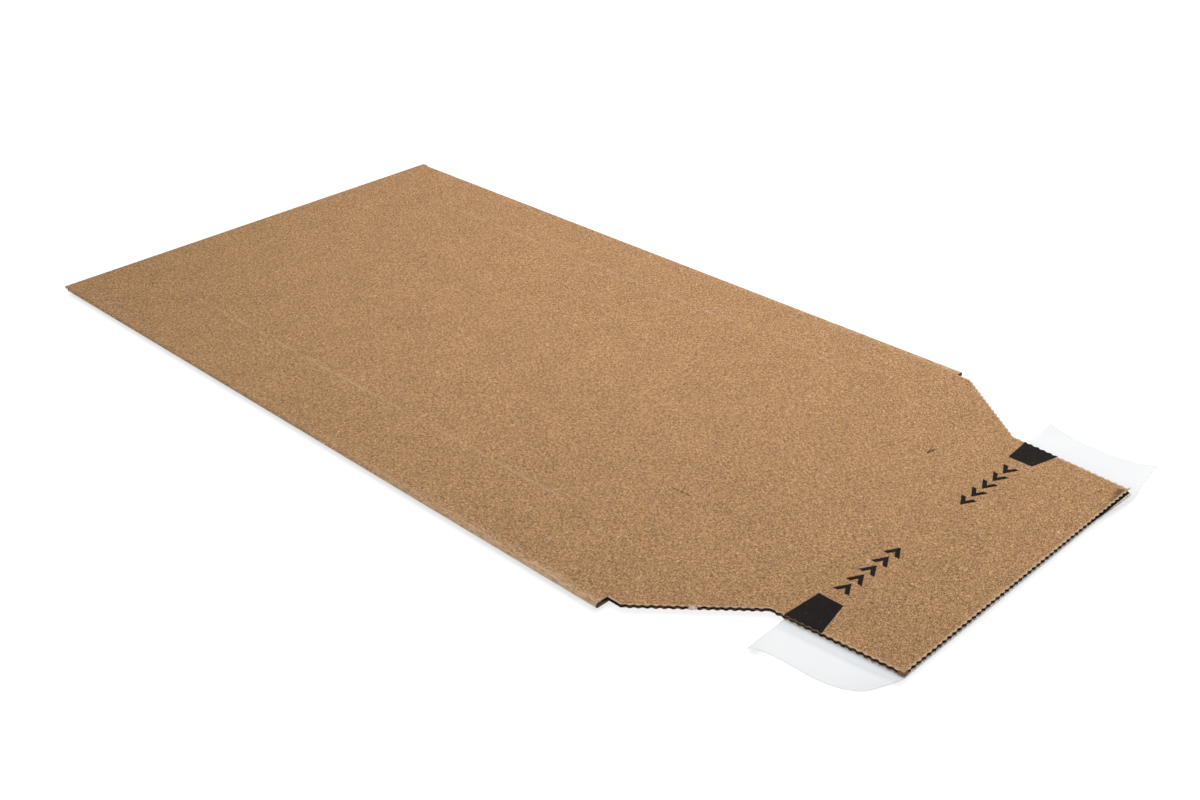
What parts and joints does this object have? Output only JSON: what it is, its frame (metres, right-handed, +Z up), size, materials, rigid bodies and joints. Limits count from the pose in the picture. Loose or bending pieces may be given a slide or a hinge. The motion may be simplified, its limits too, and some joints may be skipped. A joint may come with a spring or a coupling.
{
  "type": "cardboard envelope",
  "caption": "Flat mailing envelope folded from corrugated cardboard, open flap at one short end with adhesive, release liner and printed tear marks.",
  "frame": {"origin": "middle of the part's box, on the surface that the back panel lies on", "axes": "+X across the mouth, +Y along the length towards the closed end, +Z up, out of the front panel"},
  "size_m": [0.2496, 0.5164, 0.0118],
  "materials": {
    "corrugated_board": "matt brown kraft facing with visible fibres",
    "seam_glue": "dried water-based glue",
    "adhesive_film": "clear pressure-sensitive adhesive",
    "tear_film": "clear plastic tape",
    "liner_paper": "smooth white siliconised paper",
    "black_ink": "matt black flexographic ink on kraft"
  },
  "bodies": {
    "root": {"envelope_blank": "corrugated_board", "seam_glue": "seam_glue", "adhesive_strip": "adhesive_film", "tear_tape": "tear_film", "release_liner": "liner_paper", "tear_marks": "black_ink"}
  },
  "joints": []
}
